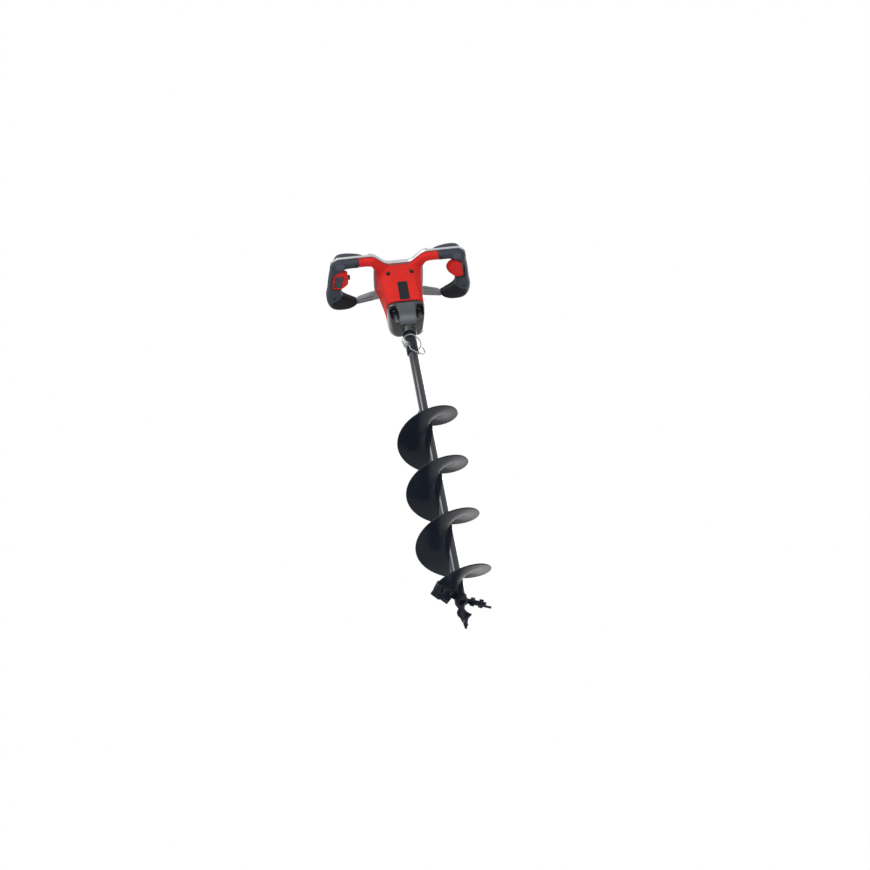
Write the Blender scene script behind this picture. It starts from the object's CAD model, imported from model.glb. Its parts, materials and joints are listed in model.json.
"""Looks of the cordless earth auger: moulded shells, soft grips, painted auger, wire clip and studio."""
import json
import math

import bmesh
import bpy
import numpy as np
from mathutils import Matrix, Vector


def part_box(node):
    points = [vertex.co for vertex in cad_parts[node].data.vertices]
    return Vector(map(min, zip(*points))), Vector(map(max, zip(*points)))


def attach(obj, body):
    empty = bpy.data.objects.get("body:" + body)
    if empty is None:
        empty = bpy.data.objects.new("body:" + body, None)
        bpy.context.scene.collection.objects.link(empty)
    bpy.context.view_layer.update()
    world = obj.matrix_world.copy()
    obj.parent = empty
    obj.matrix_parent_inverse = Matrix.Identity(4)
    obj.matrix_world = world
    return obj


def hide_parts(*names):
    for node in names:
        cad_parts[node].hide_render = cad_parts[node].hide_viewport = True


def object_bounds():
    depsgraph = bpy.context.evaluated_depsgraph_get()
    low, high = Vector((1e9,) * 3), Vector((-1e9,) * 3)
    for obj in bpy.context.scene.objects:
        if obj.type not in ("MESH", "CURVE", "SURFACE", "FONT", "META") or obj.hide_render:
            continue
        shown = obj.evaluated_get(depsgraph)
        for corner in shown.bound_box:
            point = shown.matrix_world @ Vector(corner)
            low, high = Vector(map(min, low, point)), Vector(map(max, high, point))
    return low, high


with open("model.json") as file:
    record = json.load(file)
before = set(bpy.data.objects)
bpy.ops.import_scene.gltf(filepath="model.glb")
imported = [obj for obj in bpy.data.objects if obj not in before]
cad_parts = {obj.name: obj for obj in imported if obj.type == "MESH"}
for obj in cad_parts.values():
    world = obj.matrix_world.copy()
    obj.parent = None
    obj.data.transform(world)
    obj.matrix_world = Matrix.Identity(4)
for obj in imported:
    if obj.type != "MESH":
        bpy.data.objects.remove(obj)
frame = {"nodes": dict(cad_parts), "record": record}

CAD_LOW, CAD_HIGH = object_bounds()
NODES = frame["nodes"]
# A millimetre in metres, and a metre in millimetres
MM = 0.001
METRE = 1000
TAU = 2 * math.pi

# Camera: the photograph's view, with its frame taken as square
CAMERA_PLACE = Vector((-0.2841, -2.2180, -2.1682))
CAMERA_RIGHT = Vector((0.98764315, -0.01541326, -0.15595972))
CAMERA_UP = Vector((0.11483173, -0.60605739, 0.78708837))
CAMERA_LENS = 51.125
CAMERA_SENSOR = 36.0


# Node-based materials

def new_material(name):
    """An empty material with a principled shader, its node tree and that shader."""
    material = bpy.data.materials.new(name)
    material.use_nodes = True
    tree = material.node_tree
    return material, tree, tree.nodes["Principled BSDF"]


def add_node(tree, kind, **values):
    """A node of a kind, with its settings or its sockets set by name."""
    node = tree.nodes.new(kind)
    for key, value in values.items():
        if key in node.inputs:
            node.inputs[key].default_value = value
        else:
            setattr(node, key, value)
    return node


def link(tree, source, output, target, socket):
    """A link from one node's output to another node's socket."""
    tree.links.new(source.outputs[output], target.inputs[socket])


def noise(tree, scale, detail=3.0, rough=0.55, stretch=(1, 1, 1)):
    """Noise over object coordinates, with its scale in cycles a metre."""
    place = add_node(tree, "ShaderNodeTexCoord")
    mapping = add_node(tree, "ShaderNodeMapping", Scale=stretch)
    field = add_node(tree, "ShaderNodeTexNoise", Scale=scale, Detail=detail, Roughness=rough)
    link(tree, place, "Object", mapping, "Vector")
    link(tree, mapping, "Vector", field, "Vector")
    return field.outputs["Fac"]


def ramp(tree, source, stops):
    """A colour ramp over a source, with (place, colour) stops."""
    node = add_node(tree, "ShaderNodeValToRGB")
    ends = node.color_ramp.elements
    while len(ends) < len(stops):
        ends.new(0.5)
    for end, (place, colour) in zip(ends, stops):
        end.position = place
        end.color = (*colour, 1.0)
    tree.links.new(source, node.inputs["Fac"])
    return node.outputs["Color"]


def spread(tree, source, low, high):
    """A source from 0 to 1 brought to a range."""
    node = add_node(tree, "ShaderNodeMapRange")
    node.inputs["To Min"].default_value = low
    node.inputs["To Max"].default_value = high
    tree.links.new(source, node.inputs["Value"])
    return node.outputs["Result"]


def add_bump(tree, shader, height, strength, depth):
    """Bump on a shader from a height, with its depth in metres."""
    node = add_node(tree, "ShaderNodeBump", Strength=strength, Distance=depth)
    tree.links.new(height, node.inputs["Height"])
    link(tree, node, "Normal", shader, "Normal")


def shade(colour, by):
    """A colour made darker or lighter."""
    return tuple(max(0.0, c * by) for c in colour)


def tint(tree, shader, source, colour, low, high):
    """A base colour that a source makes darker or lighter, between two (place, share) stops."""
    stops = [(place, shade(colour, share)) for place, share in (low, high)]
    tree.links.new(ramp(tree, source, stops), shader.inputs["Base Color"])


def dull(tree, shader, source, low, high):
    """A roughness that a source varies."""
    tree.links.new(spread(tree, source, low, high), shader.inputs["Roughness"])


def moulded(name, colour, rough, grain=2600.0, bump=0.12, coat=0.0):
    """Moulded plastic: a fine spark-eroded grain, and slow changes of tone and gloss."""
    material, tree, shader = new_material(name)
    tone = noise(tree, 18.0, 4.0)
    tint(tree, shader, tone, colour, (0.3, 0.9), (0.7, 1.08))
    fine = noise(tree, grain, 2.0, 0.6)
    dull(tree, shader, fine, rough - 0.06, rough + 0.08)
    add_bump(tree, shader, fine, bump, 0.00006)
    shader.inputs["Coat Weight"].default_value = coat
    shader.inputs["Coat Roughness"].default_value = 0.12
    return material


def stippled(name, colour, rough, dots=520.0, bump=0.55, depth=0.00035):
    """Soft over-moulding with a close field of raised dots."""
    material, tree, shader = new_material(name)
    place = add_node(tree, "ShaderNodeTexCoord")
    cells = add_node(tree, "ShaderNodeTexVoronoi", Scale=dots, Randomness=0.35)
    link(tree, place, "Object", cells, "Vector")
    dome = spread(tree, cells.outputs["Distance"], 1.0, 0.0)
    tint(tree, shader, dome, colour, (0.1, 0.75), (0.8, 1.12))
    dull(tree, shader, noise(tree, 70.0), rough - 0.08, rough + 0.08)
    add_bump(tree, shader, dome, bump, depth)
    shader.inputs["Specular IOR Level"].default_value = 0.25
    return material


def brushed(name, colour, rough, stretch=(1, 1, 60), scale=300.0, bump=0.06):
    """Bright metal with a brushed grain across its stretch."""
    material, tree, shader = new_material(name)
    lines = noise(tree, scale, 3.0, 0.6, stretch)
    tint(tree, shader, lines, colour, (0.3, 0.88), (0.7, 1.05))
    dull(tree, shader, lines, rough - 0.06, rough + 0.1)
    add_bump(tree, shader, lines, bump, 0.00003)
    shader.inputs["Metallic"].default_value = 1.0
    return material


def painted(name, colour, rough, peel=160.0, bump=0.1, coat=0.4):
    """Gloss paint on steel or cast metal, with a little orange peel."""
    material, tree, shader = new_material(name)
    tone = noise(tree, 14.0, 4.0)
    tint(tree, shader, tone, colour, (0.3, 0.85), (0.7, 1.2))
    dull(tree, shader, noise(tree, 45.0), rough - 0.05, rough + 0.08)
    add_bump(tree, shader, noise(tree, peel, 2.0, 0.5), bump, 0.00025)
    shader.inputs["Coat Weight"].default_value = coat
    shader.inputs["Coat Roughness"].default_value = 0.1
    return material


RED = moulded("moulded_red", (0.57, 0.026, 0.022), 0.48)
GRIP = moulded("grip_plastic", (0.030, 0.038, 0.052), 0.55, grain=1800.0, bump=0.2)
PATCH = stippled("grip_patch", (0.066, 0.073, 0.098), 0.6)
FOOT = stippled("foot_rubber", (0.0060, 0.0078, 0.0100), 0.7, dots=420.0)
GREY = moulded("frame_grey", (0.190, 0.202, 0.217), 0.46)
STRIP = brushed("bright_strip", (0.54, 0.55, 0.57), 0.34, stretch=(1, 40, 40))
BLACK = moulded("gloss_black", (0.010, 0.010, 0.012), 0.24, coat=0.2)
LABEL = moulded("label_black", (0.008, 0.008, 0.010), 0.3)
CONTROL = moulded("control_grey", (0.022, 0.026, 0.031), 0.42)
CAST = painted("gear_black", (0.0075, 0.0090, 0.0120), 0.28, peel=60.0, bump=0.02)
PANEL = moulded("gear_panel", (0.046, 0.058, 0.070), 0.34, bump=0.02)
AUGER = painted("auger_paint", (0.0085, 0.0112, 0.0180), 0.24, peel=70.0, bump=0.05, coat=0.06)
TUBE = painted("tube_paint", (0.0085, 0.0112, 0.0180), 0.14, peel=70.0, bump=0.02, coat=0.5)
STEEL = brushed("steel", (0.55, 0.56, 0.58), 0.34)
DARK_STEEL = brushed("blackened_steel", (0.055, 0.057, 0.062), 0.4, stretch=(1, 1, 1), scale=500.0)
RUST_STEEL = brushed("bronzed_steel", (0.065, 0.036, 0.030), 0.5, stretch=(1, 1, 1), scale=500.0)
WIRE = brushed("wire", (0.40, 0.41, 0.43), 0.26, stretch=(1, 1, 1), scale=900.0)
ALLOY = brushed("cast_alloy", (0.62, 0.63, 0.64), 0.46, stretch=(1, 1, 1), scale=220.0, bump=0.2)
COPPER = brushed("copper", (0.80, 0.36, 0.18), 0.32)
RUBBER = moulded("seal_rubber", (0.012, 0.012, 0.013), 0.62)
BOARD = moulded("circuit_board", (0.010, 0.085, 0.040), 0.4)
SHEEN_LEVELS = (
    (BLACK, 0.3), (LABEL, 0.2), (CAST, 0.5), (AUGER, 0.14), (TUBE, 0.3), (RED, 0.02), (GRIP, 0.25),
)
for glossy, level in SHEEN_LEVELS:
    glossy.node_tree.nodes["Principled BSDF"].inputs["Specular IOR Level"].default_value = level

SLOT_LOOKS = {
    "housing_red": RED, "soft_grip": GRIP, "frame_grey": GREY, "gloss_black": BLACK, "seal_black": RUBBER,
    "bright_strip": STRIP, "gear_black": CAST, "alloy": ALLOY, "auger_black": AUGER, "copper": COPPER,
    "board_green": BOARD, "spring_steel": WIRE, "steel": STEEL,
}
NODE_LOOKS = {
    "case_screws": DARK_STEEL, "gear_screws": DARK_STEEL, "cutter_bolts": DARK_STEEL,
    "trigger_pin": DARK_STEEL, "output_spindle": DARK_STEEL, "grip_screws": RUST_STEEL,
    "direction_rocker": CONTROL, "label_plate": LABEL, "auger_tube": TUBE,
}


# Mesh helpers, in millimetres until an object is made

def through(points, steps):
    """A smooth curve through points, with a number of steps in each span."""
    p = np.array(points, float)
    last = len(p) - 1
    rows = []
    for k in range(last):
        a, b, c, d = p[max(k - 1, 0)], p[k], p[k + 1], p[min(k + 2, last)]
        for f in np.arange(steps) / steps:
            bend = (2 * a - 5 * b + 4 * c - d) * f ** 2 + (3 * b - a - 3 * c + d) * f ** 3
            rows.append(0.5 * (2 * b + (c - a) * f + bend))
    rows.append(p[last])
    return np.array(rows)


def around(points, steps):
    """A smooth closed line through plan points."""
    p = [tuple(q) for q in points]
    return through(p[-2:] + p + p[:3], steps)[2 * steps:-2 * steps - 1]


def step_up(x, low, high):
    """0 below low, 1 above high and a soft rise between."""
    f = np.clip((x - low) / (high - low), 0, 1)
    return f * f * (3 - 2 * f)


def loft(rings, ends=True):
    """A mesh over closed rings of equally many points."""
    mesh = bmesh.new()
    grid = [[mesh.verts.new(q) for q in ring] for ring in rings]
    count = len(rings[0])
    for low, high in zip(grid, grid[1:]):
        for i in range(count):
            j = (i + 1) % count
            mesh.faces.new((low[i], low[j], high[j], high[i]))
    if ends:
        mesh.faces.new(grid[0])
        mesh.faces.new(grid[-1])
    return mesh


def channel(rings):
    """A mesh over rings that are each an outer line and an inner line back."""
    mesh = loft(rings, ends=False)
    mesh.verts.ensure_lookup_table()
    count = len(rings[0])
    for start in (0, (len(rings) - 1) * count):
        for j in range(count // 2 - 1):
            corners = (j, j + 1, count - 2 - j, count - 1 - j)
            mesh.faces.new([mesh.verts[start + c] for c in corners])
    return mesh


def prism(outline, low, high):
    """A plan outline raised from one height to another."""
    return loft([[(x, y, z) for x, y in outline] for z in (low, high)])


def rod(start, end, radius, sides=32):
    """A round bar between two points."""
    start, end = Vector(start), Vector(end)
    turn = (end - start).to_track_quat("Z", "Y")
    rings = []
    for place in (start, end):
        ring = []
        for i in range(sides):
            a = TAU * i / sides
            ring.append(place + turn @ Vector((radius * math.cos(a), radius * math.sin(a), 0)))
        rings.append(ring)
    return loft(rings)


def lathe(profile, sides=64):
    """A turned solid from (radius, height) points, with its ends closed."""
    rings = []
    for radius, z in profile:
        angles = [TAU * i / sides for i in range(sides)]
        rings.append([(radius * math.cos(a), radius * math.sin(a), z) for a in angles])
    return loft(rings)


def placed(name, data):
    """A new object in the scene."""
    obj = bpy.data.objects.new(name, data)
    bpy.context.scene.collection.objects.link(obj)
    return obj


def made(name, mesh, mirror=False):
    """An object from a mesh in millimetres, mirrored to the left side if asked."""
    if mirror:
        bmesh.ops.scale(mesh, vec=(-1, 1, 1), verts=mesh.verts)
    bmesh.ops.recalc_face_normals(mesh, faces=mesh.faces)
    bmesh.ops.scale(mesh, vec=(MM, MM, MM), verts=mesh.verts)
    data = bpy.data.meshes.new(name)
    mesh.to_mesh(data)
    mesh.free()
    return placed(name, data)


def settle(obj):
    """An object's modifiers worked into its mesh."""
    graph = bpy.context.evaluated_depsgraph_get()
    mesh = bpy.data.meshes.new_from_object(obj.evaluated_get(graph))
    obj.modifiers.clear()
    old = obj.data
    obj.data = mesh
    mesh.name = obj.name
    bpy.data.meshes.remove(old)


def combine(obj, operation, mesh, mirror):
    """An object joined with a mesh or cut by it."""
    tool = made("tool", mesh, mirror)
    boolean = obj.modifiers.new("boolean", "BOOLEAN")
    boolean.object = tool
    boolean.operation = operation
    boolean.solver = "EXACT"
    settle(obj)
    data = tool.data
    bpy.data.objects.remove(tool)
    bpy.data.meshes.remove(data)


def join(obj, mesh, mirror=False):
    """A mesh joined to an object."""
    combine(obj, "UNION", mesh, mirror)


def cut(obj, mesh, mirror=False):
    """A mesh cut from an object."""
    combine(obj, "DIFFERENCE", mesh, mirror)


def mould(obj, voxel, rounds):
    """A moulded skin: an even mesh with its edges rounded."""
    remesh = obj.modifiers.new("remesh", "REMESH")
    remesh.mode = "VOXEL"
    remesh.voxel_size = voxel * MM
    remesh.use_smooth_shade = True
    relax = obj.modifiers.new("relax", "SMOOTH")
    relax.factor = 0.5
    relax.iterations = rounds
    settle(obj)


def bevel(obj, width, segments=3, angle=35.0):
    """Rounded edges on a piece."""
    edge = obj.modifiers.new("edge", "BEVEL")
    edge.width = width * MM
    edge.segments = segments
    edge.limit_method = "ANGLE"
    edge.angle_limit = math.radians(angle)
    settle(obj)


def dress(obj, material, slot, body, *nodes):
    """A piece with its material, its slot, the body that it rides on and the nodes that it stands for."""
    obj.data.materials.clear()
    obj.data.materials.append(material)
    obj.data.shade_smooth()
    obj.data.set_sharp_from_angle(angle=math.radians(40))
    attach(obj, body)
    if nodes:
        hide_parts(*nodes)


def softened(name, node, width, material, slot, body, segments=2):
    """A CAD node's shape with its edges rounded."""
    mesh = bmesh.new()
    mesh.from_mesh(NODES[node].data)
    bmesh.ops.remove_doubles(mesh, verts=mesh.verts, dist=0.00001)
    bmesh.ops.dissolve_limit(mesh, angle_limit=math.radians(0.4), verts=mesh.verts, edges=mesh.edges)
    data = bpy.data.meshes.new(name)
    mesh.to_mesh(data)
    mesh.free()
    obj = placed(name, data)
    bevel(obj, width, segments)
    dress(obj, material, slot, body, node)


# Handle values, in millimetres, right side

# The strip's lower face is level with the plate's, and its top rises above the plate in front of the body
PLATE_HALF = -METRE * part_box("front_rail")[0].z
BAR_FRONT, BAR_REAR = 81.0, 58.0
GRIP_LENGTH, GRIP_WIDTH = 163.0, 37.0
LOW_SHELL, HIGH_SHELL, COVER_ARM = 14.0, 17.0, 8.0
SHELL_WALL = 3.0
SHELL_POWER = 2.6
ARM_END, COVER_ARM_END = 98.0, 86.0
COVER_SETBACK = 8.0
LEAST_HALF = 0.4
# Half the handle's width over the grips
HX = 183.0


def gy(share):
    """A share of the grip's length as a place from front to rear."""
    return -BAR_FRONT + share * GRIP_LENGTH


def bar(x, low=1.0, high=1.0):
    """An edge across the front bar: its inner and outer ends, and shares of the lower and upper height."""
    return (x, -BAR_REAR, x, -BAR_FRONT, low, high)


def grip_edge(inset, inner, outset, outer, low, high):
    """An edge across the grip, with its ends given inwards from the handle's side and along the grip."""
    return (HX - inset - GRIP_WIDTH, gy(inner), HX - outset, gy(outer), low, high)


GRIP_EDGES = [
    bar(HX - 58, 1, 1.4),
    grip_edge(10, 0.17, 31, 0.01, 1, 1.5),
    grip_edge(8, 0.22, 17, 0.09, 1, 1.35),
    grip_edge(12, 0.27, 13, 0.22, 1, 1.2),
    grip_edge(8, 0.40, 8, 0.40, 1, 1.05),
    grip_edge(4, 0.55, 4, 0.59, 1.1, 1),
    grip_edge(2, 0.67, 0, 0.74, 1.3, 0.7),
    grip_edge(6, 0.725, 3, 0.88, 1.4, 0.45),
    grip_edge(15, 0.77, 13, 0.975, 1.4, 0.3),
    grip_edge(26, 0.815, 29, 1, 1.35, 0.25),
    grip_edge(35, 0.855, 46, 0.985, 1.25, 0.2),
    grip_edge(40, 0.88, 61, 0.94, 1.15, 0.2),
]
ARM_EDGES = [
    (44, -22, 20, -44, 1, 1),
    (62, 14 - BAR_REAR, 40, 21 - BAR_FRONT, 1, 1),
    (68, 3 - BAR_REAR, 58, 3.5 - BAR_FRONT, 1, 1),
    (80, -BAR_REAR, 75, -BAR_FRONT, 1, 1),
]
# How far the upper shells' outer edge stands in from the lower ones' edge
HIGH_INSET = (1, 4, 7, 5, 2, 1, 0, 0, 0, 0, 0, 0)


def drawn_in(edge, inset):
    """An edge with its outer side moved towards its inner side."""
    x, y = edge[0] - edge[2], edge[1] - edge[3]
    run = inset / math.hypot(x, y)
    return edge[:2] + (edge[2] + run * x, edge[3] + run * y) + edge[4:]


HIGH_EDGES = [drawn_in(edge, inset) for edge, inset in zip(GRIP_EDGES, HIGH_INSET)]
PATH_STEPS = 12
LOW_GRIP_PATH = through([bar(ARM_END)] + GRIP_EDGES, PATH_STEPS)
HIGH_GRIP_PATH = through([bar(COVER_ARM_END, 1, 0.45), bar(ARM_END, 1, 0.95)] + HIGH_EDGES, PATH_STEPS)
LOW_ARM_PATH = through(ARM_EDGES + [bar(ARM_END)], PATH_STEPS)
HIGH_ARM_EDGES = [drawn_in(edge, COVER_SETBACK) for edge in ARM_EDGES + [bar(COVER_ARM_END)]]
HIGH_ARM_PATH = through(HIGH_ARM_EDGES, PATH_STEPS)


def shell_line(edge, side, height, inset, angles):
    """Points across one half shell between an edge's two sides, drawn in by an inset."""
    inner, outer = edge[0:2], edge[2:4]
    middle = (inner + outer) / 2
    half = np.linalg.norm(outer - inner) / 2
    across = (inner - outer) / (2 * half)
    c, s = np.cos(angles), np.sin(angles)
    run = max(half - inset, LEAST_HALF) * np.sign(c) * np.abs(c) ** (2 / SHELL_POWER)
    rise = max(height - inset, LEAST_HALF) * np.abs(s) ** (2 / SHELL_POWER)
    z = side * (PLATE_HALF + rise)
    return np.column_stack([middle[0] + across[0] * run, middle[1] + across[1] * run, z])


def half_shell(path, side, height, shut_start, shut_end, points=30, shut_steps=3):
    """A half shell along a path, below the plate for side -1 and above it for 1."""
    angles = np.linspace(0, math.pi, points + 1)
    column = 4 if side < 0 else 5
    last = len(path) - 1
    rings = []
    for k, edge in enumerate(path):
        shut = shut_start and k < shut_steps or shut_end and k > last - shut_steps
        wall = GRIP_WIDTH if shut else SHELL_WALL
        deep = height * edge[column]
        out = shell_line(edge, side, deep, 0.0, angles)
        into = shell_line(edge, side, deep, wall, angles)
        rings.append(np.vstack([out, into[::-1]]))
    return channel(rings)


# Motor housing

BODY_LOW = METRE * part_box("motor_housing")[0].z
BODY_TOP = -PLATE_HALF
BODY_HEIGHT = BODY_TOP - BODY_LOW
SEAM_HALF = 46.0
BODY_HALF_WIDTH, BODY_FRONT, BODY_REAR = 62.0, 50.0, 66.0
BODY_POWER, REAR_POWER = 6.0, 4.0
BODY_ROWS = 50
# How much of the plate's edge shows beside the housing, and from which share of its height it draws in
PLATE_SHOW, SHOW_FROM = 2.2, 0.55
LEDGE_TOP, LEDGE_SPAN, LEDGE_RISE, LEDGE_SOFT = -19.0, 36.0, 7.0, 3.5
LEDGE_OUT, LEDGE_TAIL = 3.0, 0.45
LEDGE_FRONT = (0.75, 0.92)
LEDGE_SIDE = (-2.0, 4.0)
SIDE_SCREW = Vector((29.0, 0, -29.0))


def box_ring(half_x, half_y, middle_y, z, front=BODY_POWER, rear=REAR_POWER, count=144):
    """A rounded square ring, with its front corners squarer than its rear ones."""
    a = TAU * np.arange(8 * count + 1) / (8 * count)
    c, s = np.cos(a), np.sin(a)
    power = np.where(s < 0, front, rear)
    x = half_x * np.sign(c) * np.abs(c) ** (2 / power)
    y = middle_y + half_y * np.sign(s) * np.abs(s) ** (2 / power)
    run = np.concatenate([[0], np.cumsum(np.hypot(np.diff(x), np.diff(y)))])
    even = run[-1] * np.arange(count) / count
    return np.column_stack([np.interp(even, run, x), np.interp(even, run, y), np.full(count, z)])


def body_ring(share, inset, over=0.0):
    """The housing's outline at a share of its height, with a soft ledge under the arms in front."""
    draw = inset + PLATE_SHOW * float(step_up(share, SHOW_FROM, 1.0))
    half_x = SEAM_HALF + (BODY_HALF_WIDTH - SEAM_HALF) * share ** 2 - draw
    half_y = SEAM_HALF + ((BODY_FRONT + BODY_REAR) / 2 - SEAM_HALF) * share - draw
    middle = (BODY_REAR - BODY_FRONT) / 2 * share
    z = BODY_LOW + BODY_HEIGHT * share
    ring = box_ring(half_x, half_y, middle, z)
    edge = LEDGE_TOP - LEDGE_RISE * (ring[:, 0] / LEDGE_SPAN) ** 2
    front = step_up(-ring[:, 1], LEDGE_FRONT[0] * half_y, LEDGE_FRONT[1] * half_y)
    under = 1 - step_up(z, edge - LEDGE_SOFT, edge)
    side = 1 - step_up(np.abs(ring[:, 0]), LEDGE_SPAN + LEDGE_SIDE[0], LEDGE_SPAN + LEDGE_SIDE[1])
    tail = float(step_up(share, 0.0, LEDGE_TAIL))
    ring[:, 1] -= LEDGE_OUT * front * under * side * tail
    ring[:, 2] += over
    return ring


def body_form(inset, over):
    """The housing's form, drawn in by an inset and made longer at both ends."""
    shares = np.linspace(0, 1, BODY_ROWS)
    rings = []
    for k, share in enumerate(shares):
        end = -over if k == 0 else over if k == len(shares) - 1 else 0.0
        rings.append(body_ring(share, inset, end))
    return loft(rings)


def front_face(x, z):
    """The front of the housing beside the middle, at a height."""
    ring = body_ring((z - BODY_LOW) / BODY_HEIGHT, 0.0)
    front = ring[ring[:, 1] < 0]
    front = front[np.argsort(front[:, 0])]
    return float(np.interp(x, front[:, 0], front[:, 1]))


RECESS_RADIUS, RECESS_TALL, RECESS_DEEP = 4.2, 7.5, 4.2
RECESS_CLEAR, RECESS_SIDES = 12.0, 24


def recess(x, y, z, toward):
    """A tall rounded recess for a housing screw, cut inwards from a face."""
    outline = []
    for i in range(RECESS_SIDES):
        a = TAU * i / RECESS_SIDES
        drop = -RECESS_TALL if math.sin(a) < 0 else 0.0
        outline.append((x + RECESS_RADIUS * math.cos(a), z + RECESS_RADIUS * math.sin(a) + drop))
    far = y - toward * RECESS_CLEAR
    near = y + toward * RECESS_DEEP
    return loft([[(px, py, pz) for px, pz in outline] for py in (far, near)])


VENT_COUNT, VENT_WIDTH, VENT_HEIGHT = 60, 3.6, 5.0
VENT_FROM, VENT_TO, VENT_UNDER = 36.0, 80.0, 2.0


def vents():
    """The notches round the housing's lower edge."""
    wide = VENT_WIDTH / 2
    outline = [(VENT_FROM, -wide), (VENT_TO, -wide), (VENT_TO, wide), (VENT_FROM, wide)]
    whole = bmesh.new()
    for k in range(VENT_COUNT):
        turn = Matrix.Rotation(TAU * (k + 0.5) / VENT_COUNT, 3, "Z")
        flat = [turn @ Vector((x, y, 0)) for x, y in outline]
        tool = prism([(q.x, q.y) for q in flat], BODY_LOW - VENT_UNDER, BODY_LOW + VENT_HEIGHT)
        data = bpy.data.meshes.new("vent")
        tool.to_mesh(data)
        tool.free()
        whole.from_mesh(data)
        bpy.data.meshes.remove(data)
    return whole


def build_housing():
    """The hollow red housing with its two arms, screw recesses and vents."""
    body = made("motor_housing_shell", body_form(0.0, 0.0))
    for mirror in (False, True):
        join(body, half_shell(LOW_ARM_PATH, -1, LOW_SHELL, False, False), mirror)
    cut(body, body_form(SHELL_WALL, 1.0))
    share = (SIDE_SCREW.z - BODY_LOW) / BODY_HEIGHT
    for side in (-1, 1):
        x = side * SIDE_SCREW.x
        front = front_face(x, SIDE_SCREW.z)
        rear = (BODY_REAR - BODY_FRONT) * share - front - LEDGE_OUT
        cut(body, recess(x, front, SIDE_SCREW.z, 1))
        cut(body, recess(x, rear, SIDE_SCREW.z, -1))
    cut(body, vents())
    mould(body, voxel=1.1, rounds=8)
    dress(body, RED, "housing_red", "machine", "motor_housing")


LABEL_LOW, LABEL_HIGH = (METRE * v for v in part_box("label_plate"))
LABEL_CORNER, LABEL_TRIM = 3.0, 2.0
LABEL_LIFT, LABEL_SINK = 0.9, 0.6
LABEL_ROWS, LABEL_COLUMNS = 48, 13


def build_label():
    """The bare dark plate, laid on the housing's front with rounded corners."""
    half = (LABEL_HIGH.x - LABEL_LOW.x) / 2
    low, high = LABEL_LOW.z + LABEL_TRIM, LABEL_HIGH.z - LABEL_TRIM
    rings = []
    for k in range(LABEL_ROWS + 1):
        f = -math.cos(math.pi * k / LABEL_ROWS)
        z = (low + high) / 2 + f * (high - low) / 2
        left = min(z - low, high - z, LABEL_CORNER)
        draw = LABEL_CORNER - math.sqrt(LABEL_CORNER ** 2 - (LABEL_CORNER - left) ** 2)
        xs = np.linspace(draw - half, half - draw, LABEL_COLUMNS)
        front = [(x, front_face(x, z) - LABEL_LIFT, z) for x in xs]
        back = [(x, front_face(x, z) + LABEL_SINK, z) for x in xs[::-1]]
        rings.append(front + back)
    label = made("label_blank", loft(rings))
    bevel(label, width=0.3, segments=2)
    dress(label, LABEL, "gloss_black", "machine", "label_plate")


# Top cover

COVER_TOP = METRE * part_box("battery_slide")[0].z
COVER_HEIGHT = COVER_TOP - PLATE_HALF
COVER_LEAN, COVER_REAR_LEAN, COVER_TAPER, COVER_ROUND = 38.0, 4.0, 10.0, 5.0
# Shares of the cover's height at which its top edge starts to round, and over which it does
CURL_FROM, CURL_SPAN = 0.8, 0.2
COVER_ROWS, CURL_ROWS = 16, 10
WINDOW_UNDER, WINDOW_OVER = 5.0, 2.0
TERMINAL_LOW, TERMINAL_HIGH = (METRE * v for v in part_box("terminal_block"))


def cover_form(inset, lid, over):
    """The cover's form, drawn in by an inset and a lid, and made longer at its foot."""
    shares = list(np.linspace(0, CURL_FROM, COVER_ROWS))
    for k in range(1, CURL_ROWS + 1):
        shares.append(CURL_FROM + CURL_SPAN * math.sin(math.pi / 2 * k / CURL_ROWS))
    rings = []
    for share in shares:
        curl = min(1.0, max(0.0, share - CURL_FROM) / CURL_SPAN)
        edge = inset + COVER_ROUND * (1 - math.sqrt(max(0.0, 1 - curl ** 2))) + PLATE_SHOW * (1 - share)
        front = -BODY_FRONT + COVER_LEAN * share + edge
        rear = BODY_REAR - COVER_REAR_LEAN * share - edge
        half_x = BODY_HALF_WIDTH - COVER_TAPER * share - edge
        z = PLATE_HALF + share * (COVER_HEIGHT - lid) - (over if share == 0 else 0)
        rings.append(box_ring(half_x, (rear - front) / 2, (rear + front) / 2, z))
    return loft(rings)


def build_cover():
    """The hollow top cover with its two arms and the terminals' window."""
    cover = made("top_cover_shell", cover_form(0.0, 0.0, 0.0))
    for mirror in (False, True):
        join(cover, half_shell(HIGH_ARM_PATH, 1, COVER_ARM, False, True), mirror)
    cut(cover, cover_form(SHELL_WALL, SHELL_WALL, 1.0))
    low, high = TERMINAL_LOW, TERMINAL_HIGH
    outline = [(low.x, low.y), (high.x, low.y), (high.x, high.y), (low.x, high.y)]
    window = prism(outline, COVER_TOP - WINDOW_UNDER, COVER_TOP + WINDOW_OVER)
    cut(cover, window)
    mould(cover, voxel=1.2, rounds=8)
    dress(cover, RED, "housing_red", "machine", "top_cover")


# Gear housing

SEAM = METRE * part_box("housing_gasket")[0].z
NOSE_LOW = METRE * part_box("gear_housing")[0].z
GEAR_HEIGHT = 51.0
GEAR_LOW = SEAM - GEAR_HEIGHT
GEAR_END_HALF = 18.0
FLUTE_X, FLUTE_Y = 31.0, 36.0
FLUTE_RADIUS, FLANGE_HEIGHT = 10.0, 8.0
SPIGOT_RADIUS, SPIGOT_TOP = 42.0, SEAM + 36.0
GEAR_BORE, BORE_DEPTH = 37.0, 16.0
SEAL_RADIUS, SEAT_DEPTH = 16.0, 5.0
NOSE_TRIM, NOSE_CHAMFER, NOSE_UP = 0.2, 1.2, 4.0
# How much rounder the corners are at the nose than at the seam
FRONT_EASE, REAR_EASE = 3.6, 1.6
GEAR_STEPS = 40


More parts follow.
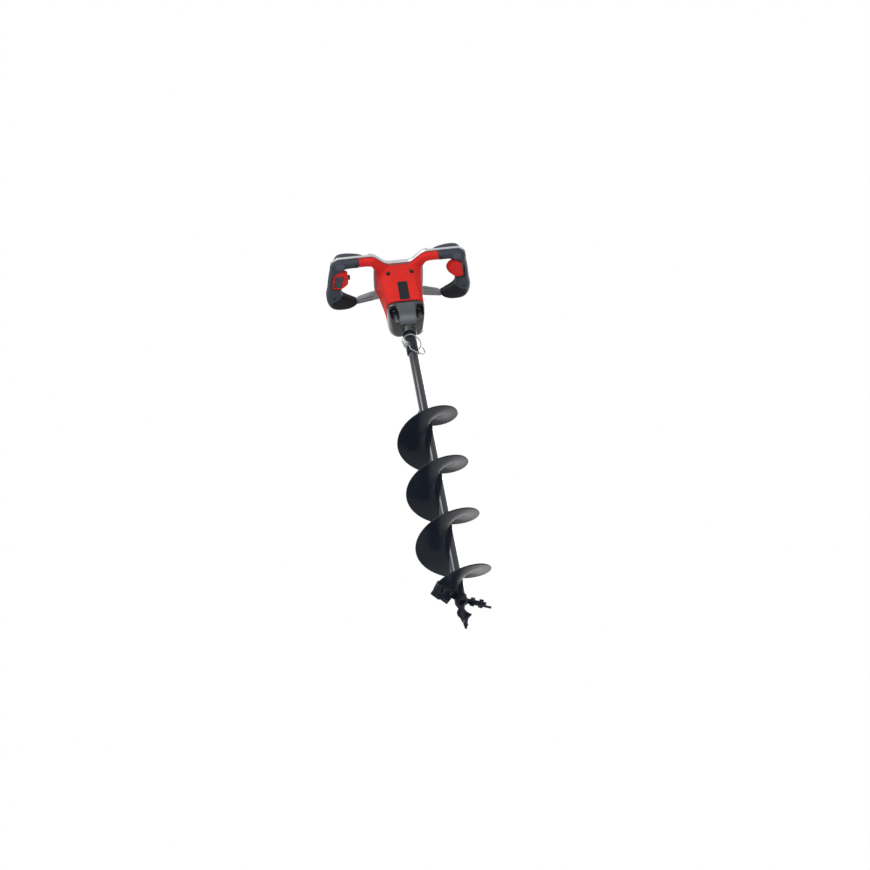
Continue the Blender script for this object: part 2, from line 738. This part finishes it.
def gear_half(f):
    """Half the gear housing's width at a share of its height, from the seam down."""
    return GEAR_END_HALF + (SEAM_HALF - GEAR_END_HALF) * max(0.0, 1 - f ** 4.2) ** 0.55


def panel_out(f):
    """How far out the front and rear panels stand, which sweep down to the nose between the flutes."""
    return GEAR_END_HALF + (SEAM_HALF - GEAR_END_HALF) * max(0.0, 1 - f ** 2.2) ** 0.8


def build_gear_housing():
    """The gear housing, with its spigot, its nose and a flute for each screw."""
    shares = [math.sin(math.pi / 2 * k / GEAR_STEPS) for k in range(GEAR_STEPS + 1)]
    rings = []
    for f in shares:
        half = gear_half(f)
        front, rear = BODY_POWER - FRONT_EASE * f, REAR_POWER - REAR_EASE * f
        ring = box_ring(half, half, 0.0, SEAM - f * GEAR_HEIGHT, front, rear)
        out = panel_out(f)
        rings.append([(x, max(-out, min(out, y)) if abs(x) <= FLUTE_X else y, z) for x, y, z in ring])
    case = made("gear_housing_case", loft(rings))
    spigot = rod((0, 0, SEAM - 1), (0, 0, SPIGOT_TOP), SPIGOT_RADIUS, sides=96)
    join(case, spigot)
    bore = rod((0, 0, SEAM - BORE_DEPTH), (0, 0, SPIGOT_TOP + 1), GEAR_BORE, sides=96)
    cut(case, bore)
    out = GEAR_END_HALF - NOSE_TRIM
    nose = [(out - NOSE_CHAMFER, NOSE_LOW), (out, NOSE_LOW + NOSE_CHAMFER), (out, GEAR_LOW + NOSE_UP)]
    join(case, lathe(nose, sides=96))
    seat = rod((0, 0, NOSE_LOW - 1), (0, 0, NOSE_LOW + SEAT_DEPTH), SEAL_RADIUS, sides=64)
    cut(case, seat)
    top = SEAM - FLANGE_HEIGHT
    for x in (-FLUTE_X, FLUTE_X):
        for y in (-FLUTE_Y, FLUTE_Y):
            flute = rod((x, y, GEAR_LOW - 1), (x, y, top), FLUTE_RADIUS, sides=48)
            cut(case, flute)
    mould(case, voxel=1.1, rounds=9)
    dress(case, CAST, "gear_black", "machine", "gear_housing")


PANEL_HALF, PANEL_LIFT, PANEL_SINK = 20.0, 0.35, 0.8
PANEL_FROM, PANEL_TO = 0.03, 0.86
PANEL_STEPS, PANEL_COLUMNS = 40, 13


def build_gear_panel():
    """The smooth panel on the gear housing's front, between the flutes."""
    line = []
    for k in range(PANEL_STEPS + 1):
        f = math.sin(math.pi / 2 * (PANEL_FROM + (PANEL_TO - PANEL_FROM) * k / PANEL_STEPS))
        line.append((-panel_out(f), SEAM - f * GEAR_HEIGHT))
    line = np.array(line)
    slope = np.gradient(line, axis=0)
    out = np.stack([slope[:, 1], -slope[:, 0]], axis=1)
    out /= np.linalg.norm(out, axis=1)[:, None]
    xs = np.linspace(-PANEL_HALF, PANEL_HALF, PANEL_COLUMNS)
    rings = []
    for face, back in zip(line + PANEL_LIFT * out, line - PANEL_SINK * out):
        rings.append([(x, *face) for x in xs] + [(x, *back) for x in xs[::-1]])
    panel = made("gear_panel", loft(rings))
    bevel(panel, width=0.2, segments=2)
    dress(panel, PANEL, "gear_black", "machine")


# Grips

TRIGGER_PLAN = [
    (HX - 51, gy(0.213)), (HX - 59.5, gy(0.265)), (HX - 63, gy(0.325)), (HX - 62, gy(0.385)),
    (HX - 57.5, gy(0.44)), (HX - 50, gy(0.485)), (HX - 42, gy(0.515)), (HX - 31, gy(0.52)),
    (HX - 21.5, gy(0.50)), (HX - 23, gy(0.40)), (HX - 26, gy(0.28)), (HX - 35, gy(0.208)),
]
POD_FACE = HX - 56
POD_PLAN = [
    (HX - 49, gy(0.215)), (POD_FACE, gy(0.26)), (POD_FACE, gy(0.42)), (HX - 52.5, gy(0.47)),
    (HX - 45, gy(0.515)), (HX - 37, gy(0.54)), (HX - 26, gy(0.54)),
    (HX - 16.5, gy(0.51)), (HX - 18, gy(0.40)), (HX - 21.5, gy(0.28)), (HX - 33, gy(0.208)),
]
PLAN_STEPS = 5
TRIGGER_ROOM, POD_ROOM = 6.0, 1.0
# Steps of the path at which the grip screws stand
SCREW_STEPS = (4, 84, 128)
BOSS_RADIUS, SCREW_SINK, SEAT_RAISE = 6.0, 3.4, 0.6
CUT_LOW = -40.0


def spread_out(plan, gap):
    """A plan with each point moved away from the middle by a gap."""
    plan = np.array(plan)
    middle = plan.mean(axis=0)
    away = plan - middle
    return plan + gap * away / np.linalg.norm(away, axis=1)[:, None]


def screw_spot(step):
    """A grip screw's place, and the height of its seat in the shell."""
    edge = LOW_GRIP_PATH[step]
    x, y = (edge[0:2] + edge[2:4]) / 2
    return x, y, -PLATE_HALF - LOW_SHELL * edge[4] + SHELL_WALL + SEAT_RAISE


def build_low_grip(name, node, plan, gap, mirror):
    """A lower grip shell, with its screw bosses and a pocket round the control's plan."""
    grip = made(name, half_shell(LOW_GRIP_PATH, -1, LOW_SHELL, False, True), mirror)
    for step in SCREW_STEPS:
        x, y, seat = screw_spot(step)
        boss = rod((x, y, seat - 2), (x, y, -PLATE_HALF), BOSS_RADIUS)
        join(grip, boss, mirror)
        sink = rod((x, y, CUT_LOW), (x, y, seat), SCREW_SINK)
        cut(grip, sink, mirror)
    pocket = prism(around(spread_out(plan, gap), PLAN_STEPS), CUT_LOW, -PLATE_HALF + 1)
    cut(grip, pocket, mirror)
    mould(grip, voxel=1.1, rounds=6)
    dress(grip, GRIP, "soft_grip", "machine", node)


def build_high_grip(name, node, mirror):
    """An upper grip shell."""
    grip = made(name, half_shell(HIGH_GRIP_PATH, 1, HIGH_SHELL, True, True), mirror)
    mould(grip, voxel=1.2, rounds=6)
    dress(grip, GRIP, "soft_grip", "machine", node)


BAND_OUT, BAND_IN, BAND_HALF = 0.1, 1.3, 3.4
# Step of the path at which the strip's end cap covers the outer edge
CAP_STEP = 40


def build_grip_band(name, mirror):
    """The lip that closes the joint between a grip's two shells, along both edges and round the foot."""
    inner, outer = LOW_GRIP_PATH[:, 0:2], LOW_GRIP_PATH[:, 2:4]
    across = (outer - inner) / np.linalg.norm(outer - inner, axis=1)[:, None]
    ahead = inner[-1] - inner[-2]
    ahead = ahead / np.linalg.norm(ahead)
    lines = []
    for inset in (BAND_OUT, BAND_IN):
        near, far = inner + inset * across, outer - inset * across
        near[-1] -= inset * ahead
        far[-1] -= inset * ahead
        lines.append(np.concatenate([near, far[CAP_STEP:][::-1]]))
    rings = []
    for p, q in zip(*lines):
        rings.append([(*p, -BAND_HALF), (*p, BAND_HALF), (*q, BAND_HALF), (*q, -BAND_HALF)])
    band = made(name, loft(rings), mirror)
    bevel(band, width=0.3, segments=2)
    dress(band, FOOT, "soft_grip", "machine")


PAD_SIDES, PAD_STEPS = 72, 26
# Shares of a pad's reach: its middle, where its rim starts to round and over which it does, and its back
PAD_CORE, RIM_FROM, RIM_SPAN, PAD_BACK = 0.03, 0.9, 0.1, 0.97
PAD_SINK = 1.2
RIB_FROM, RIB_RISE = 0.55, 0.9


def on_shell(along, angle, lift):
    """A point of a lower grip shell, at a place along it and an angle across it, lifted off its surface."""
    last = len(LOW_GRIP_PATH) - 1
    spot = min(max(along, 0.0), 1.0) * last
    k = min(int(spot), last - 1)
    edge = LOW_GRIP_PATH[k] + (LOW_GRIP_PATH[k + 1] - LOW_GRIP_PATH[k]) * (spot - k)
    return shell_line(edge, -1, LOW_SHELL * edge[4], -lift, np.array([angle]))[0]


def rim_share(radius):
    """The share of a pad's lift at a share of its reach."""
    return math.sqrt(max(0.0, 1 - max(0.0, (radius - RIM_FROM) / RIM_SPAN) ** 2))


def pad(name, middle, reach, lift, power, ribs, mirror):
    """A closed pad on a lower grip shell, rounded at its rim, with ribs across its end if asked."""
    rings = []
    layers = [(radius, lift * rim_share(radius)) for radius in np.linspace(PAD_CORE, 1, PAD_STEPS)]
    layers += [(radius, -PAD_SINK) for radius in (PAD_BACK, PAD_CORE)]
    for radius, rise in layers:
        ring = []
        for i in range(PAD_SIDES):
            a = TAU * i / PAD_SIDES
            c, s = math.cos(a), math.sin(a)
            u = radius * math.copysign(abs(c) ** (2 / power), c)
            v = radius * math.copysign(abs(s) ** (2 / power), s)
            wave = 0.0
            if ribs and rise > 0 and u > RIB_FROM:
                wave = RIB_RISE * max(0.0, math.sin(TAU * ribs * (u - RIB_FROM) / (1 - RIB_FROM)))
            along, angle = middle[0] + reach[0] * u, middle[1] + reach[1] * v
            ring.append(on_shell(along, angle, rise + wave))
        rings.append(ring)
    return made(name, loft(rings), mirror)


# Controls

TRIGGER_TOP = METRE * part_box("right_trigger")[1].z
TRIGGER_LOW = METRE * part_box("right_trigger")[0].z
TRIGGER_HEIGHT = TRIGGER_TOP - TRIGGER_LOW
FINGER_ROUND = 9.0
# Distances from the trigger's nose between which the finger face starts to curve
FINGER_NEAR, FINGER_FAR = 4.0, 30.0
FOOT_EASE, FOOT_SHARE = 1.6, 0.14
TRIGGER_STEPS = 16


def build_trigger():
    """The trigger, with its finger face curved under."""
    outline = around(TRIGGER_PLAN, steps=8)
    nose = outline[:, 0].min()
    reach = step_up(-outline[:, 0], -(nose + FINGER_FAR), -(nose + FINGER_NEAR))
    middle = outline.mean(axis=0)
    rings = []
    for k in range(TRIGGER_STEPS + 1):
        f = k / TRIGGER_STEPS
        curl = 1 - math.sqrt(max(0.0, 1 - (1 - f) ** 2))
        ring = outline.copy()
        ring[:, 0] += FINGER_ROUND * curl * reach
        ease = FOOT_EASE * (1 - math.sqrt(max(0.0, 1 - max(0.0, 1 - f / FOOT_SHARE) ** 2)))
        away = ring - middle
        ring -= ease * away / np.linalg.norm(away, axis=1)[:, None]
        rings.append(np.column_stack([ring, np.full(len(ring), TRIGGER_LOW + TRIGGER_HEIGHT * f)]))
    trigger = made("trigger_body", loft(rings))
    dress(trigger, RED, "housing_red", "right_trigger", "right_trigger")


ROCKER_LOW, ROCKER_HIGH = (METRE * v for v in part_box("direction_rocker"))
BUTTON_LOW, BUTTON_HIGH = (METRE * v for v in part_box("lock_off_button"))
BUTTON_SLOT_BACK = -(HX - 46.5)
ROCKER_WIDE, ROCKER_LONG = 19.0, 37.0
ROCKER_TURN = Matrix.Rotation(math.radians(10.0), 3, "Z")
ROCKER_MIDDLE = (ROCKER_LOW + ROCKER_HIGH) / 2
SWITCH_LOW, SWITCH_HIGH = (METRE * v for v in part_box("left_switch"))
SWITCH_WIDE, SWITCH_LONG = 10.0, 20.0
ROCKER_GAP, BUTTON_GAP = 0.6, 0.35
ROCKER_STEPS = 20
VEE_RISE, RIDGE_RISE, RIDGE_SHARE, TOP_FALL = 1.5, 0.5, 0.12, 0.6
END_DRAW, END_FROM = 0.8, 0.93


def block(low, high):
    """A plain block between two corners, used to cut with."""
    outline = [(low[0], low[1]), (high[0], low[1]), (high[0], high[1]), (low[0], high[1])]
    return prism(outline, low[2], high[2])


def turned_block(wide, long, low, high):
    """A block round the rocker's middle, turned as the rocker is."""
    corners = [(-wide / 2, -long / 2), (wide / 2, -long / 2), (wide / 2, long / 2), (-wide / 2, long / 2)]
    spots = [ROCKER_MIDDLE + ROCKER_TURN @ Vector((x, y, 0)) for x, y in corners]
    return prism([(q.x, q.y) for q in spots], low, high)


def build_pod():
    """The red pod under the left grip, with the button's slot and the rocker's pocket."""
    pod = made("pod_shell", prism(around(POD_PLAN, PLAN_STEPS), TRIGGER_LOW, -PLATE_HALF), True)
    low = Vector((BUTTON_SLOT_BACK, BUTTON_LOW.y - BUTTON_GAP, BUTTON_LOW.z - BUTTON_GAP))
    high = Vector((BUTTON_HIGH.x + 4, BUTTON_HIGH.y + BUTTON_GAP, BUTTON_HIGH.z + BUTTON_GAP))
    cut(pod, block(low, high))
    wide, long = ROCKER_WIDE + 2 * ROCKER_GAP, ROCKER_LONG + 2 * ROCKER_GAP
    pocket = turned_block(wide, long, TRIGGER_LOW - 4, ROCKER_HIGH.z + 2)
    cut(pod, pocket)
    well = turned_block(SWITCH_WIDE, SWITCH_LONG, SWITCH_LOW.z - 1, SWITCH_HIGH.z + 1)
    cut(pod, well)
    bevel(pod, width=1.0, segments=3, angle=40)
    dress(pod, RED, "housing_red", "machine", "left_pod")


def build_rocker():
    """The direction rocker, a shallow vee with a finger ridge across its middle."""
    half, wide = ROCKER_LONG / 2, ROCKER_WIDE / 2
    low, high = ROCKER_LOW.z, ROCKER_HIGH.z
    rings = []
    for k in range(2 * ROCKER_STEPS + 1):
        f = -1 + k / ROCKER_STEPS
        base = low + VEE_RISE * abs(f) ** 1.3 + RIDGE_RISE * math.exp(-(f / RIDGE_SHARE) ** 2)
        top = high - TOP_FALL * abs(f)
        draw = END_DRAW * step_up(abs(f), END_FROM, 1.0)
        w = wide - draw
        base += draw
        section = [(1.2 - w, base), (w - 1.2, base), (w - 0.4, base + 0.35), (w, base + 1.1), (w, top),
                   (-w, top), (-w, base + 1.1), (0.4 - w, base + 0.35)]
        ring = []
        for x, z in section:
            spot = ROCKER_MIDDLE + ROCKER_TURN @ Vector((x, half * f, 0))
            ring.append((spot.x, spot.y, z))
        rings.append(ring)
    rocker = made("rocker_body", loft(rings))
    dress(rocker, CONTROL, "gloss_black", "direction_rocker", "direction_rocker")


def build_button():
    """The lock-off button."""
    button = made("button_body", block(BUTTON_LOW, BUTTON_HIGH))
    bevel(button, width=1.8, segments=4, angle=40)
    dress(button, BLACK, "gloss_black", "lock_off_button", "lock_off_button")


# Auger

FLIGHT_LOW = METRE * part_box("auger_flight")[0].z
FLIGHT_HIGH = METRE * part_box("auger_flight")[1].z
FLIGHT_THICK = 3.0
FLIGHT_RADIUS, TUBE_RADIUS = 75.0, 11.5
FLIGHT_PITCH, FLIGHT_START = 139.0, -128.0
FLIGHT_STEP_DEGREES = 2.0
FLIGHT_MIDS = (30.0, 52.0)
BEAD = 2.6


def build_flight():
    """The spiral blade, with a rounded rim and a weld bead along the tube."""
    rise = FLIGHT_HIGH - FLIGHT_LOW - FLIGHT_THICK
    sweep = 360.0 * rise / FLIGHT_PITCH
    steps = int(sweep / FLIGHT_STEP_DEGREES)
    half = FLIGHT_THICK / 2
    rings = []
    for k in range(steps + 1):
        a = math.radians(FLIGHT_START + sweep * k / steps)
        z = FLIGHT_LOW + half + rise * k / steps
        end = min(k, steps - k)
        bead = BEAD * (0.85 + 0.15 * math.sin(k * 1.9)) * min(1.0, 0.3 + end / 4)
        under = [(TUBE_RADIUS - 0.3, -half - bead), (TUBE_RADIUS + 0.35 * bead, -half - 0.55 * bead),
                 (TUBE_RADIUS + 0.6 * bead, -half - 0.3 * bead), (TUBE_RADIUS + bead, -half)]
        under += [(radius, -half) for radius in FLIGHT_MIDS]
        under += [(FLIGHT_RADIUS - 0.9, -half), (FLIGHT_RADIUS - 0.2, -0.55 * half)]
        section = under + [(FLIGHT_RADIUS, 0.0)] + [(r, -h) for r, h in reversed(under)]
        rings.append([(r * math.cos(a), r * math.sin(a), z + h) for r, h in section])
    flight = made("flight_blade", loft(rings))
    dress(flight, AUGER, "auger_black", "spindle", "auger_flight")


HUB_RADIUS = 14.0
HUB_LOW, HUB_TOP = -940.0, -922.0
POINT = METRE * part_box("pilot_point")[0].z
PILOT_HALF, PILOT_THICK, PILOT_TWIST, PILOT_SKEW = 16.0, 9.0, 300.0, 0.06
PILOT_ANGLE = FLIGHT_START + 155.0
PILOT_STEPS, PILOT_SIDES = 60, 24
# Shares of the pilot's length, with its share of the half width at each
PILOT_PROFILE = [(0, 0.84), (0.14, 0.88), (0.30, 1), (0.44, 1), (0.52, 0.84), (0.60, 0.58), (0.66, 0.52),
                 (0.78, 0.48), (0.88, 0.38), (0.95, 0.24), (1, 0.08)]


def build_pilot():
    """The pilot: a turned hub and a twisted fishtail that steps down to its point."""
    places, widths = zip(*PILOT_PROFILE)
    run = HUB_LOW - POINT + 1
    rings = []
    for k in range(PILOT_STEPS + 1):
        f = k / PILOT_STEPS
        a = math.radians(PILOT_ANGLE + PILOT_TWIST * (0.4 - f))
        lead = PILOT_HALF * np.interp(f - PILOT_SKEW, places, widths)
        trail = PILOT_HALF * np.interp(f + PILOT_SKEW, places, widths)
        thick = min(0.9 * min(lead, trail), PILOT_THICK / 2)
        across = np.array([math.cos(a), math.sin(a), 0])
        through_flat = np.array([-math.sin(a), math.cos(a), 0])
        middle = np.array([0, 0, HUB_LOW + 1 - f * run])
        ring = []
        for i in range(PILOT_SIDES):
            b = TAU * i / PILOT_SIDES
            wide = lead if math.cos(b) > 0 else trail
            out = math.copysign(abs(math.cos(b)) ** 0.8, math.cos(b))
            up = math.copysign(abs(math.sin(b)) ** 0.6, math.sin(b))
            ring.append(middle + wide * out * across + thick * up * through_flat)
        rings.append(ring)
    pilot = made("pilot_tip", loft(rings))
    hub = [(HUB_RADIUS - 1.5, HUB_LOW), (HUB_RADIUS - 0.4, HUB_LOW + 0.5), (HUB_RADIUS, HUB_LOW + 1.8),
           (HUB_RADIUS, HUB_TOP - 1.8), (HUB_RADIUS - 0.4, HUB_TOP - 0.5), (HUB_RADIUS - 1.5, HUB_TOP)]
    join(pilot, lathe(hub))
    dress(pilot, AUGER, "auger_black", "spindle", "pilot_point")


# Lock clip

PIN_Z = -231.0
PIN_TURN = math.radians(45.0)
SLEEVE_RADIUS, CLIP_RADIUS = 14.5, 1.25
COIL_RADIUS, COIL_PITCH, COIL_TURNS, COIL_STEPS = 4.4, 3.1, 2.25, 8
SLEEVE_GAP, HEAD_GAP = 1.6, 2.6
STUB_REACH, PIN_END = SLEEVE_RADIUS + 7.8, SLEEVE_RADIUS + 7.5
COIL_TOP = -4.0 - CLIP_RADIUS - 0.8
COIL_FROM = math.radians(190.0)


def tube(route, radius, sides=12):
    """A round wire along a route, with a frame that turns as little as it can."""
    route = [Vector(q) for q in route]
    last = len(route) - 1
    normal = Vector((0, 0, 1))
    rings = []
    for i, place in enumerate(route):
        way = (route[min(i + 1, last)] - route[max(i - 1, 0)]).normalized()
        normal = (normal - way * normal.dot(way)).normalized()
        other = way.cross(normal)
        ease = 0.75 if i in (0, last) else 1.0
        ring = []
        for j in range(sides):
            a = TAU * j / sides
            ring.append(place + radius * ease * (math.cos(a) * normal + math.sin(a) * other))
        rings.append(ring)
    return loft(rings)


def build_clip():
    """The wire clip, from its hook round the sleeve to its coil on the pin and back."""
    gap = SLEEVE_RADIUS + CLIP_RADIUS + SLEEVE_GAP
    sx, sy = -STUB_REACH * math.cos(PIN_TURN), -STUB_REACH * math.sin(PIN_TURN)
    hx, hy = (PIN_END + HEAD_GAP) * math.cos(PIN_TURN), (PIN_END + HEAD_GAP) * math.sin(PIN_TURN)
    low = COIL_TOP - COIL_TURNS * COIL_PITCH
    upper = [(hx, hy, 1), (hx + 6, hy - 8, 5), (hx + 5.5, hy - 17, 9), (18.5, -9, 11), (13, 3 - gap, 14.5),
             (4, -gap, 20.5), (-8, -gap - 0.4, 19.5), (sx + 1, sy - 4.5, 13), (sx - 6.5, sy - 2.5, 5),
             (sx - COIL_RADIUS - 2.2, sy + 1, COIL_TOP + 4)]
    lower = [(sx + 6.5, sy - 4.6, low - 2.2), (-6, -gap - 0.4, -24), (2, -gap - 0.2, -32), (12, 2 - gap, -37),
             (20, -10, -38), (27, -3, -31), (28, 1, -19), (25.5, 3.5, -6)]
    coil = []
    for i in range(int(COIL_TURNS * COIL_STEPS) + 1):
        a = COIL_FROM + TAU * i / COIL_STEPS
        x, y = sx + COIL_RADIUS * math.cos(a), sy + COIL_RADIUS * math.sin(a)
        coil.append((x, y, COIL_TOP - COIL_PITCH * i / COIL_STEPS))
    route = through(upper + coil + lower, steps=5) + np.array([0, 0, PIN_Z])
    clip = made("clip_wire", tube(route, CLIP_RADIUS))
    dress(clip, WIRE, "spring_steel", "clip", "clip")


# Every CAD node gets its material, and the pieces above stand for the ones that show

for part in frame["record"]["subparts"]:
    node = NODES[part["node"]]
    node.data.materials.clear()
    node.data.materials.append(NODE_LOOKS.get(part["node"], SLOT_LOOKS[part["material_slot"]]))
    node.data.shade_smooth()
    node.data.set_sharp_from_angle(angle=math.radians(30))

build_housing()
build_label()
build_cover()
build_gear_housing()
build_gear_panel()
build_low_grip("right_low_grip", "right_grip_lower", TRIGGER_PLAN, TRIGGER_ROOM, False)
build_low_grip("left_low_grip", "left_grip_lower", POD_PLAN, POD_ROOM, True)
build_high_grip("right_high_grip", "right_grip_upper", False)
build_high_grip("left_high_grip", "left_grip_upper", True)
build_trigger()
build_pod()
build_rocker()
build_button()
build_flight()
build_pilot()
build_clip()
softened("frame_body", "frame_plate", 0.7, GREY, "frame_grey", "machine")
softened("rail_strip", "front_rail", 0.5, STRIP, "bright_strip", "machine")
softened("rail_ends", "rail_caps", 0.8, GREY, "frame_grey", "machine")
softened("slide_deck", "battery_slide", 0.6, GREY, "frame_grey", "machine")
softened("holder_plates", "cutter_holders", 0.6, AUGER, "auger_black", "spindle")
softened("blade_plates", "cutter_blades", 0.5, AUGER, "auger_black", "spindle")
softened("sleeve_body", "auger_sleeve", 0.8, AUGER, "auger_black", "spindle")
softened("bolt_set", "cutter_bolts", 0.4, DARK_STEEL, "steel", "spindle")
softened("pin_bar", "lock_pin", 0.5, STEEL, "steel", "spindle")

# Pads: name, material, middle and reach as (along, across), lift, corner power and ribs
PADS = (
    ("grip_patch", PATCH, (0.165, 1.75), (0.052, 0.55), 0.8, 2.0, 0),
    ("bar_pad", FOOT, (0.075, 0.72), (0.068, 0.66), 0.7, 4.0, 0),
    ("foot_pad", FOOT, (0.81, 1.12), (0.18, 1.06), 0.8, 5.0, 5),
)
for mirror in (False, True):
    side = "left_" if mirror else "right_"
    build_grip_band(side + "grip_band", mirror)
    for name, material, middle, reach, lift, power, ribs in PADS:
        piece = pad(side + name, middle, reach, lift, power, ribs, mirror)
        dress(piece, material, "soft_grip", "machine")


# Studio

def build_camera():
    """The camera at the photograph's place."""
    data = bpy.data.cameras.new("camera")
    data.lens = CAMERA_LENS
    data.sensor_width = CAMERA_SENSOR
    data.clip_end = 50.0
    camera = placed("camera", data)
    back = CAMERA_RIGHT.cross(CAMERA_UP)
    turn = Matrix((CAMERA_RIGHT, CAMERA_UP, back)).transposed().to_4x4()
    camera.matrix_world = Matrix.Translation(CAMERA_PLACE) @ turn
    bpy.context.scene.camera = camera


def build_floor():
    """A pale floor at the auger's point, which can't be seen from underneath and lets the lamps through."""
    size = 8.0
    mesh = bpy.data.meshes.new("floor")
    z = CAD_LOW.z
    corners = [(-size, -size, z), (size, -size, z), (size, size, z), (-size, size, z)]
    mesh.from_pydata(corners, [], [(0, 1, 2, 3)])
    floor = placed("floor", mesh)
    material, tree, shader = new_material("floor_paper")
    shader.inputs["Base Color"].default_value = (0.86, 0.86, 0.86, 1)
    shader.inputs["Roughness"].default_value = 0.9
    side = add_node(tree, "ShaderNodeNewGeometry")
    path = add_node(tree, "ShaderNodeLightPath")
    lets = add_node(tree, "ShaderNodeMath", operation="MAXIMUM")
    clear = add_node(tree, "ShaderNodeBsdfTransparent")
    mix = add_node(tree, "ShaderNodeMixShader")
    out = tree.nodes["Material Output"]
    link(tree, side, "Backfacing", lets, 0)
    link(tree, path, "Is Shadow Ray", lets, 1)
    link(tree, lets, "Value", mix, "Fac")
    link(tree, shader, "BSDF", mix, 1)
    link(tree, clear, "BSDF", mix, 2)
    link(tree, mix, "Shader", out, "Surface")
    mesh.materials.append(material)


def add_lamp(name, place, target, size, power):
    """A soft lamp that faces a target, with its size in metres and its power in watts."""
    data = bpy.data.lights.new(name, "AREA")
    data.shape = "RECTANGLE"
    data.size, data.size_y = size
    data.energy = power
    lamp = placed(name, data)
    lamp.location = place
    lamp.rotation_mode = "QUATERNION"
    lamp.rotation_quaternion = (Vector(target) - Vector(place)).to_track_quat("-Z", "Y")


def build_world():
    """White to the eye and in reflections, and a softer light on the object."""
    world = bpy.data.worlds.new("studio")
    world.use_nodes = True
    tree = world.node_tree
    soft = tree.nodes["Background"]
    soft.inputs["Color"].default_value = (1, 1, 1, 1)
    soft.inputs["Strength"].default_value = 0.55
    white = add_node(tree, "ShaderNodeBackground", Strength=1.0)
    white.inputs["Color"].default_value = (1, 1, 1, 1)
    path = add_node(tree, "ShaderNodeLightPath")
    seen = add_node(tree, "ShaderNodeMath", operation="MAXIMUM")
    clear = add_node(tree, "ShaderNodeMath", operation="MAXIMUM")
    mix = add_node(tree, "ShaderNodeMixShader")
    link(tree, path, "Is Camera Ray", seen, 0)
    link(tree, path, "Is Glossy Ray", seen, 1)
    link(tree, seen, "Value", clear, 0)
    link(tree, path, "Is Transmission Ray", clear, 1)
    link(tree, clear, "Value", mix, "Fac")
    link(tree, soft, "Background", mix, 1)
    link(tree, white, "Background", mix, 2)
    tree.links.new(mix.outputs["Shader"], tree.nodes["World Output"].inputs["Surface"])
    bpy.context.scene.world = world


build_camera()
build_floor()
build_world()
add_lamp("key", (-1.3, -1.7, 0.7), (0, 0, -0.3), (1.2, 1.2), 27)
add_lamp("low_fill", (0.3, -2.0, -1.6), (0, 0, -0.2), (1.4, 0.8), 20)
add_lamp("rim", (1.2, 1.3, 0.5), (0, 0, -0.3), (0.8, 1.2), 16)
bpy.context.scene.view_settings.view_transform = "Standard"
